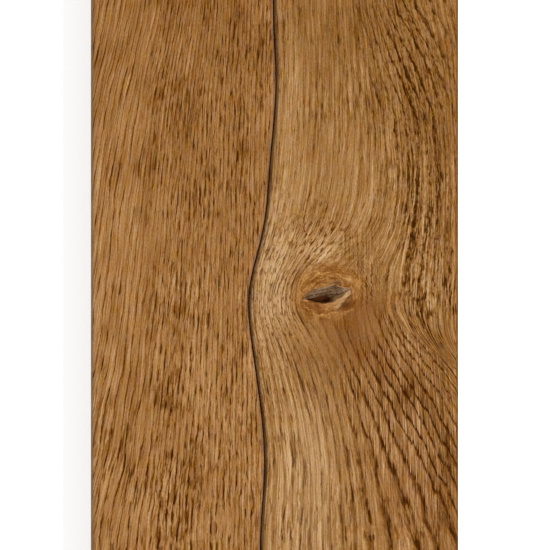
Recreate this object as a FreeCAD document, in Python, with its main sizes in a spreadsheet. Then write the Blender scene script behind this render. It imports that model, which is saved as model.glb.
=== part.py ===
import FreeCAD, Part
import os
import Sketcher

# Wide oak floor plank. Two full-thickness oak strips meet on a curved seam that follows the
# tree's own line, and are held by a tongue and groove run along that curve. The plank's two
# straight long edges and its two ends are grooved all round for loose tongues, every edge of
# the face has a small bevel, the back has relief grooves, and the right strip has an open
# knot.
# Frame: X across the plank, Y along it, Z up from the back. The origin is on the back,
# under the middle of the face. Sizes are millimetres and degrees.
SIZES = (
    ("plank_length", 1500.0, "foot edge to head edge"),
    ("plank_width", 220.0, "outer edge to outer edge"),
    ("thickness", 20.0, "back to face"),
    ("bevel", 1.6, "depth and width of the bevel round each strip's face"),
    ("seam_gap", 0.5, "open joint between the two strips at the face"),
    ("tongue_width", 6.0, "how far a tongue, milled or loose, stands out of its edge"),
    ("tongue_thickness", 6.0, "top to bottom of a tongue"),
    ("tongue_base", 7.0, "height of a tongue's underside above the back"),
    ("tip_ease", 0.8, "chamfer along the tip of a tongue"),
    ("groove_room_over", 0.2, "clearance above a tongue in its groove"),
    ("groove_room_ahead", 0.5, "clearance between a tongue's tip and the groove's bottom"),
    ("shoulder_relief", 0.5, "how far the shoulder under a tongue is cut back"),
    ("kerf_width", 3.0, "relief groove in the back"),
    ("kerf_depth", 4.5, "relief groove in the back"),
    ("kerf_pitch", 20.0, "centre to centre of the relief grooves"),
    ("kerf_edge", 20.0, "outer edge to the centre of the first relief groove"),
    ("left_kerf_count", 4.0, "relief grooves in the left strip"),
    ("right_kerf_count", 5.0, "relief grooves in the right strip"),
    ("end_lead", 60.0, "straight run of the seam's control line at each end"),
    ("foot_across", -12.0, "seam's place across the plank at its foot end"),
    ("foot_swing", -4.0, "seam's place midway between the knot region and the foot end"),
    ("head_swing", -8.0, "seam's place midway between the knot region and the head end"),
    ("head_across", 3.0, "seam's place across the plank at its head end"),
    ("knot_across", 31.5, "middle of the knot's hollow, between its tips"),
    ("knot_along", -10.9, "middle of the knot's hollow, between its tips"),
    ("knot_lean", 13.5, "turn of the hollow's long axis from across the plank"),
    ("knot_length", 29.6, "hollow at the face, tip to tip"),
    ("knot_rise_head", 5.0, "bulge of the hollow's head side from the line of its tips"),
    ("knot_rise_foot", 6.0, "bulge of the hollow's foot side from the line of its tips"),
    ("knot_depth", 6.0, "depth of the hollow"),
    ("floor_length", 12.0, "floor of the hollow, tip to tip"),
    ("floor_rise", 1.5, "bulge of either side of the floor"),
    ("floor_shift", -3.7, "floor's middle from the hollow's, along the line of its tips"),
    ("floor_drop", -2.5, "floor's middle from the hollow's, square to the line of its tips"),
)

# Control points of the seam beside the knot, as distance along and across the plank. The
# curve bows round the knot, as the trunk's side did.
SEAM_BENDS = (
    (-210.0, -6.0),
    (-160.0, -10.0),
    (-115.0, -4.5),
    (-75.0, -8.5),
    (-40.0, -14.0),
    (-12.0, -17.0),
    (12.0, -10.5),
    (36.0, -4.5),
    (70.0, -3.0),
    (115.0, 2.5),
    (160.0, -2.5),
    (210.0, 3.0),
)

# Expressions that several sketches share.
HALF_WIDTH = "sizes.plank_width / 2"
HALF_LENGTH = "sizes.plank_length / 2"
HALF_GAP = "sizes.seam_gap / 2"
GROOVE_DEPTH = "(sizes.tongue_width + sizes.groove_room_ahead)"
GROOVE_HEIGHT = "sizes.tongue_thickness + sizes.groove_room_over"
TONGUE_TOP = "sizes.tongue_base + sizes.tongue_thickness"
GROOVE_TOP = f"{TONGUE_TOP} + sizes.groove_room_over"
BEVEL_FOOT = "sizes.thickness - sizes.bevel"

# How far a cut runs past the edges, so that it clears the tongue that stands out there.
OVERRUN = "2 * sizes.tongue_width"


def write_sizes(doc):
    """The spreadsheet of driving dimensions, with one alias for each."""
    sheet = doc.addObject("Spreadsheet::Sheet", "sizes")
    rows = list(SIZES)
    for number, (along, across) in enumerate(SEAM_BENDS, 1):
        rows.append((f"bend_{number}_along", along, "seam control point"))
        rows.append((f"bend_{number}_across", across, "seam control point"))
    for row, (alias, value, note) in enumerate(rows, 1):
        sheet.set(f"A{row}", alias)
        sheet.set(f"B{row}", str(value))
        sheet.set(f"C{row}", note)
        sheet.setAlias(f"B{row}", alias)
    doc.recompute()


def seam_points(inset):
    """The seam's control points from foot to head, as pairs of expressions, across and along.
    The curve stops short of both ends by inset."""
    first, last = "sizes.bend_1_along", f"sizes.bend_{len(SEAM_BENDS)}_along"
    points = [
        ("sizes.foot_across", f"{inset} - {HALF_LENGTH}"),
        ("sizes.foot_across", f"{inset} + sizes.end_lead - {HALF_LENGTH}"),
        ("sizes.foot_swing", f"({first} - {HALF_LENGTH}) / 2"),
    ]
    for number in range(1, len(SEAM_BENDS) + 1):
        points.append((f"sizes.bend_{number}_across", f"sizes.bend_{number}_along"))
    points += [
        ("sizes.head_swing", f"({last} + {HALF_LENGTH}) / 2"),
        ("sizes.head_across", f"{HALF_LENGTH} - sizes.end_lead - {inset}"),
        ("sizes.head_across", f"{HALF_LENGTH} - {inset}"),
    ]
    return points


def new_body(doc, label):
    body = doc.addObject("PartDesign::Body", label)
    body.Label = label
    return body


def new_sketch(body, name, lift="0"):
    """A sketch parallel to the back of the plank, lifted to a height above it."""
    sketch = body.newObject("Sketcher::SketchObject", name)
    plane = next(f for f in body.Origin.OriginFeatures if f.Role == "XY_Plane")
    sketch.AttachmentSupport = [(plane, "")]
    sketch.MapMode = "FlatFace"
    sketch.setExpression("AttachmentOffset.Base.z", lift)
    return sketch


def bind(sketch, kind, where, expression):
    """A dimension of a sketch that follows an expression of the spreadsheet."""
    value = float(sketch.evalExpression(expression))
    index = sketch.addConstraint(Sketcher.Constraint(kind, *where, value))
    sketch.setExpression(f"Constraints[{index}]", expression)


def place_point(sketch, geometry, vertex, across, along):
    """Fixes one point of a sketch at a place given by two expressions."""
    bind(sketch, "DistanceX", (-1, 1, geometry, vertex), across)
    bind(sketch, "DistanceY", (-1, 1, geometry, vertex), along)


def add_line(sketch, start, end):
    return sketch.addGeometry(Part.LineSegment(FreeCAD.Vector(*start), FreeCAD.Vector(*end)))


def add_seam_curve(sketch, shift, inset):
    """The seam as a cubic spline through its control line, moved across the plank by shift."""
    points = [(f"{across} + {shift}", along) for across, along in seam_points(inset)]
    poles = [
        FreeCAD.Vector(float(sketch.evalExpression(across)), float(sketch.evalExpression(along)))
        for across, along in points
    ]
    spline = Part.BSplineCurve()
    spline.buildFromPoles(poles, False, 3)
    curve = sketch.addGeometry(spline)
    sketch.exposeInternalGeometry(curve)
    for number, (across, along) in enumerate(points, 1):
        place_point(sketch, curve + number, 3, across, along)
    return curve, poles


def seam_outline(sketch, shift, outer, past=None, inset="0"):
    """Closed outline between the seam curve and the straight line at outer. It ends level with
    the plank's ends, short of them by inset, or past them by past."""
    curve, poles = add_seam_curve(sketch, shift, inset)
    outer_x = float(sketch.evalExpression(outer))
    foot, head = (poles[0].x, poles[0].y), (poles[-1].x, poles[-1].y)
    start, finish = (curve, 1), (curve, 2)
    if past:
        reach = float(sketch.evalExpression(past))
        high = (head[0], head[1] + reach)
        low = (foot[0], foot[1] - reach)
        rise = add_line(sketch, head, high)
        drop = add_line(sketch, low, foot)
        sketch.addConstraint(Sketcher.Constraint("Coincident", *finish, rise, 1))
        sketch.addConstraint(Sketcher.Constraint("Coincident", *start, drop, 2))
        for run in (rise, drop):
            sketch.addConstraint(Sketcher.Constraint("Vertical", run))
            bind(sketch, "DistanceY", (run, 1, run, 2), past)
        head, finish = high, (rise, 2)
        foot, start = low, (drop, 1)
    top = add_line(sketch, head, (outer_x, head[1]))
    side = add_line(sketch, (outer_x, head[1]), (outer_x, foot[1]))
    bottom = add_line(sketch, (outer_x, foot[1]), foot)
    for first, second in (
        (finish, (top, 1)),
        ((top, 2), (side, 1)),
        ((side, 2), (bottom, 1)),
        ((bottom, 2), start),
    ):
        sketch.addConstraint(Sketcher.Constraint("Coincident", *first, *second))
    sketch.addConstraint(Sketcher.Constraint("Horizontal", top))
    sketch.addConstraint(Sketcher.Constraint("Vertical", side))
    sketch.addConstraint(Sketcher.Constraint("Horizontal", bottom))
    bind(sketch, "DistanceX", (-1, 1, side, 1), outer)


def box_outline(sketch, left, right, low, high):
    """A rectangle whose four sides each follow an expression."""
    x0, x1, y0, y1 = (float(sketch.evalExpression(e)) for e in (left, right, low, high))
    corners = [(x0, y0), (x1, y0), (x1, y1), (x0, y1)]
    sides = [add_line(sketch, corners[n], corners[(n + 1) % 4]) for n in range(4)]
    for n, side in enumerate(sides):
        joint = (side, 2, sides[(n + 1) % 4], 1)
        sketch.addConstraint(Sketcher.Constraint("Coincident", *joint))
        sketch.addConstraint(Sketcher.Constraint("Vertical" if n % 2 else "Horizontal", side))
    place_point(sketch, sides[0], 1, left, low)
    place_point(sketch, sides[2], 1, right, high)


def add_pad(body, name, sketch, length):
    pad = body.newObject("PartDesign::Pad", name)
    pad.Profile = sketch
    pad.setExpression("Length", length)
    body.Document.recompute()


def require_less(body, name, before):
    """Stops the build if a cut took nothing away."""
    if not body.Shape.Volume < before:
        raise RuntimeError(f"{name} cut nothing from {body.Label}")


def add_pocket(body, name, sketch, depth, upwards=False):
    """A pocket that runs down from its sketch, or up from it. Gives back the pocket."""
    before = body.Shape.Volume
    pocket = body.newObject("PartDesign::Pocket", name)
    pocket.Profile = sketch
    pocket.Reversed = upwards
    pocket.setExpression("Length", depth)
    body.Document.recompute()
    require_less(body, name, before)
    return pocket


def add_blank(body, edge, outer, face_edge, face_outer):
    """A strip's blank between its seam edge and its outer edge: upright sides, then sides that
    lean in to the face's own outline, which makes the bevel."""
    sketch = new_sketch(body, "blank_outline")
    seam_outline(sketch, edge, outer)
    add_pad(body, "blank", sketch, BEVEL_FOOT)
    foot = new_sketch(body, "bevel_foot_outline", BEVEL_FOOT)
    seam_outline(foot, edge, outer)
    face = new_sketch(body, "face_outline", "sizes.thickness")
    seam_outline(face, face_edge, face_outer, inset="sizes.bevel")
    bevel = body.newObject("PartDesign::AdditiveLoft", "face_and_bevel")
    bevel.Profile = foot
    bevel.Sections = [face]
    bevel.Ruled = True
    body.Document.recompute()


def add_seam_tongue(body, edge):
    """The tongue along the seam, a ruled loft through the corners of its section, which eases
    the tip's arrises. It is rooted inside the strip and ends inside the end grooves."""
    tip = f"{edge} - sizes.tongue_width"
    eased_tip = f"{tip} + sizes.tip_ease"
    sketches = []
    for number, (reach, lift) in enumerate((
        (eased_tip, "sizes.tongue_base"),
        (tip, "sizes.tongue_base + sizes.tip_ease"),
        (tip, f"{TONGUE_TOP} - sizes.tip_ease"),
        (eased_tip, TONGUE_TOP),
    ), 1):
        sketch = new_sketch(body, f"tongue_outline_{number}", lift)
        seam_outline(sketch, reach, f"{HALF_WIDTH} / 2", inset=f"{GROOVE_DEPTH} / 2")
        sketches.append(sketch)
    tongue = body.newObject("PartDesign::AdditiveLoft", "tongue")
    tongue.Profile = sketches[0]
    tongue.Sections = sketches[1:]
    tongue.Ruled = True
    body.Document.recompute()


def cut_outer_groove(body, left, right):
    """The groove for a loose tongue along a strip's straight outer edge, from left to right."""
    sketch = new_sketch(body, "outer_groove_outline", GROOVE_TOP)
    reach = f"({HALF_LENGTH} + {OVERRUN})"
    box_outline(sketch, left, right, f"-{reach}", reach)
    add_pocket(body, "outer_groove", sketch, GROOVE_HEIGHT)


def cut_end_grooves(body):
    """The grooves across both ends, which take the seam tongue's corners with them."""
    sketch = new_sketch(body, "end_groove_outlines", GROOVE_TOP)
    across = f"({HALF_WIDTH} + {OVERRUN})"
    clear = f"({HALF_LENGTH} + {OVERRUN})"
    bottom = f"({HALF_LENGTH} - {GROOVE_DEPTH})"
    box_outline(sketch, f"-{across}", across, f"-{clear}", f"-{bottom}")
    box_outline(sketch, f"-{across}", across, bottom, clear)
    add_pocket(body, "end_grooves", sketch, GROOVE_HEIGHT)


def cut_kerfs(body, first_centre, count, towards_left=False):
    """Relief grooves along the back, from the one nearest the outer edge inwards."""
    sketch = new_sketch(body, "kerf_outline")
    left, right = (f"{first_centre} {sign} sizes.kerf_width / 2" for sign in "-+")
    reach = f"({HALF_LENGTH} + {OVERRUN})"
    box_outline(sketch, left, right, f"-{reach}", reach)
    kerf = add_pocket(body, "kerf", sketch, "sizes.kerf_depth", upwards=True)
    before = body.Shape.Volume
    pattern = body.newObject("PartDesign::LinearPattern", "kerfs")
    pattern.Originals = [kerf]
    pattern.Direction = (sketch, ["H_Axis"])
    pattern.Reversed = towards_left
    pattern.setExpression("Occurrences", count)
    pattern.setExpression("Length", f"({count} - 1) * sizes.kerf_pitch")
    body.Tip = pattern
    body.Document.recompute()
    require_less(body, "kerfs", before)


def build_left_strip(doc):
    """The straight-grained strip, with a groove along the seam as well as round the plank."""
    body = new_body(doc, "left_strip")
    edge, outer = f"-{HALF_GAP}", f"-{HALF_WIDTH}"
    add_blank(body, edge, outer, f"{edge} - sizes.bevel", f"{outer} + sizes.bevel")

    sketch = new_sketch(body, "seam_groove_outline", GROOVE_TOP)
    seam_outline(sketch, f"{edge} - {GROOVE_DEPTH}", HALF_WIDTH, past=OVERRUN)
    add_pocket(body, "seam_groove", sketch, GROOVE_HEIGHT)
    cut_outer_groove(body, f"{outer} - {OVERRUN}", f"{outer} + {GROOVE_DEPTH}")
    cut_end_grooves(body)
    cut_kerfs(body, f"{outer} + sizes.kerf_edge", "sizes.left_kerf_count")
    return body


def knot_outline(sketch, length, head_rise, foot_rise, middle=("0", "0")):
    """A leaf of two arcs between two tips, which lie on the sketch's own X direction."""
    across, along = middle
    tips = f"{across} - {length} / 2", f"{across} + {length} / 2"
    points = [FreeCAD.Vector(*(float(sketch.evalExpression(e)) for e in (t, along))) for t in tips]
    arcs = []
    for rise, side in ((head_rise, 1), (foot_rise, -1)):
        height = float(sketch.evalExpression(rise))
        crown = (points[0] + points[1]) / 2 + FreeCAD.Vector(0, side * height)
        arcs.append(sketch.addGeometry(Part.Arc(points[0], crown, points[1])))
    # A three-point arc is stored counter-clockwise, so the head arc starts at the far tip.
    head, foot = arcs
    sketch.addConstraint(Sketcher.Constraint("Coincident", head, 1, foot, 2))
    sketch.addConstraint(Sketcher.Constraint("Coincident", head, 2, foot, 1))
    place_point(sketch, foot, 1, tips[0], along)
    place_point(sketch, foot, 2, tips[1], along)
    for arc, rise, side in ((head, head_rise, 1), (foot, foot_rise, -1)):
        sag = f"({length} * {length} / (8 * {rise}) - {rise} / 2)"
        centre = f"{along} - {sag}" if side > 0 else f"{along} + {sag}"
        bind(sketch, "DistanceY", (-1, 1, arc, 3), centre)


def knot_sketch(body, name, lift):
    """A sketch turned and moved to the knot."""
    sketch = new_sketch(body, name, lift)
    turn = FreeCAD.Rotation(FreeCAD.Vector(0, 0, 1), 1)
    sketch.AttachmentOffset = FreeCAD.Placement(FreeCAD.Vector(), turn)
    sketch.setExpression("AttachmentOffset.Base.x", "sizes.knot_across")
    sketch.setExpression("AttachmentOffset.Base.y", "sizes.knot_along")
    sketch.setExpression("AttachmentOffset.Rotation.Angle", "sizes.knot_lean")
    return sketch


def hollow_knot(body):
    """The open knot: a leaf-shaped mouth that slopes to a small floor near one side."""
    mouth = knot_sketch(body, "knot_mouth", "sizes.thickness")
    knot_outline(mouth, "sizes.knot_length", "sizes.knot_rise_head", "sizes.knot_rise_foot")
    floor = knot_sketch(body, "knot_floor", "sizes.thickness - sizes.knot_depth")
    middle = ("sizes.floor_shift", "sizes.floor_drop")
    knot_outline(floor, "sizes.floor_length", "sizes.floor_rise", "sizes.floor_rise", middle)
    before = body.Shape.Volume
    loft = body.newObject("PartDesign::SubtractiveLoft", "knot")
    loft.Profile = mouth
    loft.Sections = [floor]
    body.Document.recompute()
    require_less(body, "knot", before)


def build_right_strip(doc):
    """The knotty strip, with a tongue along the seam and a groove round the plank."""
    body = new_body(doc, "right_strip")
    edge, outer = HALF_GAP, HALF_WIDTH
    add_blank(body, edge, outer, f"{edge} + sizes.bevel", f"{outer} - sizes.bevel")

    add_seam_tongue(body, edge)
    sketch = new_sketch(body, "seam_relief_outline", "sizes.tongue_base")
    shoulder = f"{edge} + sizes.shoulder_relief"
    seam_outline(sketch, shoulder, f"-{HALF_WIDTH}", past=OVERRUN)
    add_pocket(body, "seam_lower_shoulder", sketch, "sizes.tongue_base")
    cut_outer_groove(body, f"{outer} - {GROOVE_DEPTH}", f"{outer} + {OVERRUN}")
    cut_end_grooves(body)
    cut_kerfs(body, f"{outer} - sizes.kerf_edge", "sizes.right_kerf_count", towards_left=True)
    hollow_knot(body)
    return body


def main():
    doc = FreeCAD.newDocument("floor_plank")
    write_sizes(doc)
    strips = [build_left_strip(doc), build_right_strip(doc)]
    for item in doc.Objects:
        if "Invalid" in item.State or "Error" in item.State:
            raise RuntimeError(f"{item.Label} failed: {item.State}")
    os.makedirs("parts", exist_ok=True)
    for strip in strips:
        shape = strip.Shape
        if shape.isNull() or not shape.isValid():
            raise RuntimeError(f"{strip.Label} is not a valid solid")
        shape.exportStep(os.path.join("parts", f"{strip.Label}.step"))
        print(strip.Label, "solids", len(shape.Solids), "volume", round(shape.Volume / 1000, 1), "cm3")


main()
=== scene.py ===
# %% [markdown]
# # A wide oak floor plank
# This lesson dresses a solid oak floor plank. It is made of two strips that meet on a curved
# tongue-and-groove seam, with an open knot beside the seam. The plank lies flat with its face up.
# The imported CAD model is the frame: it gives the plank's place and size, and each new piece
# stands for one of its nodes.

# %% Load the frame
import bmesh
import bpy
import math
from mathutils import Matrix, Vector, noise


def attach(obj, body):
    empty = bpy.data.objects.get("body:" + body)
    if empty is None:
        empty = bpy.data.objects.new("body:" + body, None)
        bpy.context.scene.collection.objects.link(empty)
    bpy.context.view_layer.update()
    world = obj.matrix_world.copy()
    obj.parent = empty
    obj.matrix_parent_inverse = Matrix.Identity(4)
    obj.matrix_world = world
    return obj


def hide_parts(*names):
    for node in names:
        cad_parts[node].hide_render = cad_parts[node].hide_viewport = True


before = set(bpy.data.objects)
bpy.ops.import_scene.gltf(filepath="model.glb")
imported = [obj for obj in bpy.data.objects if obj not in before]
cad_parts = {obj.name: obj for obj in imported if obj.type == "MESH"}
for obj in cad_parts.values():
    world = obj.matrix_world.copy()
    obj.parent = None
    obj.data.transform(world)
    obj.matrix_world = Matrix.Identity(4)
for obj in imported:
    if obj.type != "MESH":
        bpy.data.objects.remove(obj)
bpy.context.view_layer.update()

# %% [markdown]
# The sizes are those of the plank itself: 220 mm wide and 20 mm thick. Its length follows from
# the seam. Blender works in metres, so one millimetre gets a name, and so do the small distances
# within which two places count as one.

# %% Sizes of the plank
MM = 0.001
HALF_WIDTH = 110
THICKNESS = 20
HALF_GAP = 0.25
FACE_INSET = 1.85
NEAR = 1e-5
TOUCHING = 1e-6
FACE_LEVEL = THICKNESS * MM - TOUCHING
print("plank", 2 * HALF_WIDTH, "mm wide,", THICKNESS, "mm thick")

# %% [markdown]
# ## The curved seam
# The seam follows the wavy edge that one of the strips had as a tree. Such a line has no
# corners, so it is drawn as one NURBS path through a few poles, as a bandsaw would follow it.
# The same poles serve both strips, which keeps the gap between them even.

# %% Poles of the seam, y and x in millimetres
SEAM_POLES = (
    (-748.15, -12), (-688.15, -12), (-480, -4), (-210, -6), (-160, -10), (-115, -4.5),
    (-75, -8.5), (-40, -14), (-12, -17), (12, -10.5), (36, -4.5), (70, -3), (115, 2.5),
    (160, -2.5), (210, 3), (480, -8), (688.15, 3), (748.15, 3),
)
print("seam poles", len(SEAM_POLES))


# %% [markdown]
# Blender's operators act on all that is selected, so two small helpers come first. One opens a
# piece with nothing selected. The other selects by a test on the place or the normal, which is
# how a modeller picks with the mouse.

# %% Helpers for selecting
def deselect_everything():
    """Leaves no object selected, so that an operator touches only what comes next."""
    if bpy.context.object and bpy.context.object.mode != "OBJECT":
        bpy.ops.object.mode_set(mode="OBJECT")
    bpy.ops.object.select_all(action="DESELECT")


def open_piece(piece):
    """Makes a piece the only selected one and opens it in edit mode with nothing picked."""
    deselect_everything()
    bpy.context.view_layer.objects.active = piece
    piece.select_set(True)
    bpy.ops.object.mode_set(mode="EDIT")
    bpy.ops.mesh.select_all(action="DESELECT")


def pick(mode, test):
    """Selects the vertices, edges or faces that pass a test, and nothing else."""
    bpy.ops.mesh.select_mode(type=mode)
    mesh = bmesh.from_edit_mesh(bpy.context.edit_object.data)
    parts = {"VERT": mesh.verts, "EDGE": mesh.edges, "FACE": mesh.faces}[mode]
    parts.index_update()
    chosen = [part for part in parts if test(part)]
    bpy.ops.mesh.select_all(action="DESELECT")
    for part in chosen:
        part.select_set(True)
    bmesh.update_edit_mesh(bpy.context.edit_object.data)


# %% [markdown]
# ## The face of a strip
# A strip's face is the area between the seam and the straight outer edge. The path becomes a
# chain of vertices, the chain is extruded sideways by a first width, and its new side is
# flattened onto the outer edge by scaling it to nothing in X. A vertex group then marks each of
# the four sides.

# %% Lay out a strip's face
STEPS_BETWEEN_POLES = 12
FIRST_WIDTH = 50


def lay_face(name, side):
    """Makes the flat face of one strip: side is -1 for the left strip and 1 for the right one."""
    deselect_everything()
    bpy.ops.curve.primitive_nurbs_path_add()
    path = bpy.context.object
    spline = path.data.splines[0]
    spline.points.add(len(SEAM_POLES) - len(spline.points))
    shift = side * (HALF_GAP + FACE_INSET)
    for point, (y, x) in zip(spline.points, SEAM_POLES):
        point.co = ((x + shift) * MM, y * MM, THICKNESS * MM, 1)
    spline.order_u = 4
    spline.use_endpoint_u = True
    spline.resolution_u = STEPS_BETWEEN_POLES
    bpy.ops.object.convert(target="MESH")
    piece = bpy.context.object
    piece.name = name
    piece.data.name = name
    chain = len(piece.data.vertices)
    outer = side * (HALF_WIDTH - FACE_INSET) * MM
    sideways = (side * FIRST_WIDTH * MM, 0, 0)
    bpy.ops.object.mode_set(mode="EDIT")
    bpy.ops.mesh.select_all(action="SELECT")
    bpy.ops.mesh.extrude_region_move(TRANSFORM_OT_translate={"value": sideways})
    bpy.ops.transform.resize(value=(0, 1, 1), center_override=(outer, 0, THICKNESS * MM))
    bpy.ops.object.mode_set(mode="OBJECT")
    end = max(vertex.co.y for vertex in piece.data.vertices)
    sides = {
        "seam": lambda spot: abs(spot.x - outer) > NEAR,
        "outer": lambda spot: abs(spot.x - outer) < NEAR,
        "head": lambda spot: abs(spot.y - end) < NEAR,
        "foot": lambda spot: abs(spot.y + end) < NEAR,
    }
    for label, is_there in sides.items():
        group = piece.vertex_groups.new(name=label)
        group.add([v.index for v in piece.data.vertices if is_there(v.co)], 1, "REPLACE")
    print(name, "seam chain", chain, "vertices, face ends at", round(end / MM, 2), "mm")
    return piece


# %% [markdown]
# ## The milled edges
# Every edge of the plank is milled, so its section is the same all the way along. The face's
# rim is extruded ring by ring down that section. At each height a side moves outwards by its
# own offset, and a corner, which belongs to two sides, takes both. The first rings ease the
# sharp arrises of the bevel, as a light pass of sandpaper does.

# %% Section of the edges: height, offset of a tongue edge, offset of a groove edge
EDGE_RINGS = (
    (19.93, -1.62, -1.62), (19.82, -1.42, -1.42), (18.58, -0.18, -0.18),
    (18.38, -0.05, -0.05), (18.15, 0, 0), (13.2, 0, 0), (13.2, 0, -6.5), (13.0, 0, -6.5),
    (13.0, 5.2, -6.5), (12.2, 6.0, -6.5), (7.8, 6.0, -6.5), (7.0, 5.2, -6.5),
    (7.0, -0.5, -6.5), (7.0, -0.5, 0), (0, -0.5, 0),
)


def mill_edges(piece, side, tongues=()):
    """Extrudes the face's rim down the section. The sides named in tongues have the tongue."""
    outwards = {"seam": (-side, 0), "outer": (side, 0), "head": (0, 1), "foot": (0, -1)}
    open_piece(piece)
    pick("EDGE", lambda edge: edge.is_boundary)
    past = (THICKNESS, -FACE_INSET, -FACE_INSET)
    for ring in EDGE_RINGS:
        drop = (ring[0] - past[0]) * MM
        bpy.ops.mesh.extrude_region_move(TRANSFORM_OT_translate={"value": (0, 0, drop)})
        mesh = bmesh.from_edit_mesh(piece.data)
        newest = {vertex.index for vertex in mesh.verts if vertex.select}
        for label, (right, ahead) in outwards.items():
            column = 1 if label in tongues else 2
            step = (ring[column] - past[column]) * MM
            if step:
                number = piece.vertex_groups[label].index
                layer = bmesh.from_edit_mesh(piece.data).verts.layers.deform.active
                pick("VERT", lambda v: v.index in newest and number in v[layer])
                bpy.ops.transform.translate(value=(right * step, ahead * step, 0))
        pick("EDGE", lambda edge: all(v.index in newest for v in edge.verts) and edge.is_boundary)
        past = ring
    bpy.ops.mesh.edge_face_add()
    bpy.ops.mesh.select_all(action="SELECT")
    bpy.ops.mesh.remove_doubles(threshold=TOUCHING)
    bpy.ops.mesh.dissolve_degenerate(threshold=TOUCHING)
    bpy.ops.mesh.normals_make_consistent(inside=False)
    bpy.ops.object.mode_set(mode="OBJECT")
    print(piece.name, "milled:", len(piece.data.vertices), "vertices")


# %% [markdown]
# ## The relief grooves in the back
# Planks of solid oak have shallow grooves along the back, which let the wood move without
# cupping. Long bars, one for each groove, are cut out with a boolean.

# %% Saw the relief grooves
RELIEF_WIDTH = 3
RELIEF_DEPTH = 4.5
SAW_LENGTH = 1600


def saw_relief(piece, lines):
    """Cuts a groove along the back at each x in lines."""
    bar = (RELIEF_WIDTH * MM, SAW_LENGTH * MM, 2 * RELIEF_DEPTH * MM)
    deselect_everything()
    for x in lines:
        bpy.ops.mesh.primitive_cube_add(size=1, location=(x * MM, 0, 0), scale=bar)
        bpy.context.object.select_set(True)
        if x == lines[0]:
            saw = bpy.context.object
        else:
            saw.select_set(True)
            bpy.context.view_layer.objects.active = saw
            bpy.ops.object.join()
    deselect_everything()
    bpy.context.view_layer.objects.active = piece
    piece.select_set(True)
    cut = piece.modifiers.new("relief", "BOOLEAN")
    cut.operation = "DIFFERENCE"
    cut.solver = "EXACT"
    cut.object = saw
    bpy.ops.object.modifier_apply(modifier=cut.name)
    bpy.data.objects.remove(saw)
    print(piece.name, "relief grooves", len(lines))


# %% [markdown]
# The same three helpers now make both strips. The right strip's seam side has the tongue, and
# every other side has a groove. The relief grooves keep clear of the seam.

# %% Build the two strips
left_oak = lay_face("left_oak", -1)
mill_edges(left_oak, -1)
saw_relief(left_oak, (-90, -70, -50, -30))
right_oak = lay_face("right_oak", 1)
mill_edges(right_oak, 1, tongues=("seam",))
saw_relief(right_oak, (90, 70, 50, 30, 10))


# %% [markdown]
# The face carries the wood's figure, so it needs vertices across its width. The rungs that run
# from the seam to the outer edge are subdivided, on the face only.

# %% Divide the faces across
COLUMNS = 22
RUNG = 0.05


def divide_face(piece):
    """Gives a strip's face its columns of quads, by its rungs, which are over 50 mm long."""
    open_piece(piece)
    pick("EDGE", lambda e: min(v.co.z for v in e.verts) > FACE_LEVEL
         and abs(e.verts[0].co.x - e.verts[1].co.x) > RUNG)
    bpy.ops.mesh.subdivide(number_cuts=COLUMNS - 1)
    bpy.ops.object.mode_set(mode="OBJECT")
    print(piece.name, "face divided:", len(piece.data.polygons), "faces")


divide_face(left_oak)
divide_face(right_oak)

# %% [markdown]
# ## The open knot
# A branch once grew here. Its rotten heart fell out and left a leaf-shaped hollow, leaning a
# little up to the right: a weathered grey wall on the head side, a dark slot along the lower
# left, and a smooth ledge on the lower right. The faces round it are subdivided until each is
# a fraction of a millimetre. The hollow's depth is then painted as a vertex group, and a
# Displace modifier sinks the face by it.

# %% Shape of the hollow, in millimetres
KNOT_X = 31.5
KNOT_Y = -10.9
KNOT_LEAN = math.radians(13.5)
KNOT_HALF = 14.8
KNOT_DEPTH = 6.0
HEAD_RISE = 4.6
HEAD_PEAK = 5
FOOT_DROP = 6.0
LEDGE_RIGHT = 11.7
LEDGE_LEFT = 8.4
LEDGE_ALONG = 0.582
LEDGE_ACROSS = 0.813


def knot_place(x, y):
    """Turns a place on the face into one along and across the knot."""
    along = (x - KNOT_X) * math.cos(KNOT_LEAN) + (y - KNOT_Y) * math.sin(KNOT_LEAN)
    across = (y - KNOT_Y) * math.cos(KNOT_LEAN) - (x - KNOT_X) * math.sin(KNOT_LEAN)
    return along, across


def smooth_step(low, high, value):
    """Rises from 0 at low to 1 at high with no corner."""
    share = min(max((value - low) / (high - low), 0), 1)
    return share * share * (3 - 2 * share)


def head_rise(along):
    """How far the hollow's head side stands from the line of its tips: blunt on the left."""
    if along < HEAD_PEAK:
        return HEAD_RISE * (1 - min((HEAD_PEAK - along) / (KNOT_HALF + HEAD_PEAK), 1) ** 8)
    return HEAD_RISE * (1 - min((along - HEAD_PEAK) / (KNOT_HALF - HEAD_PEAK), 1)) ** 1.6


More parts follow.
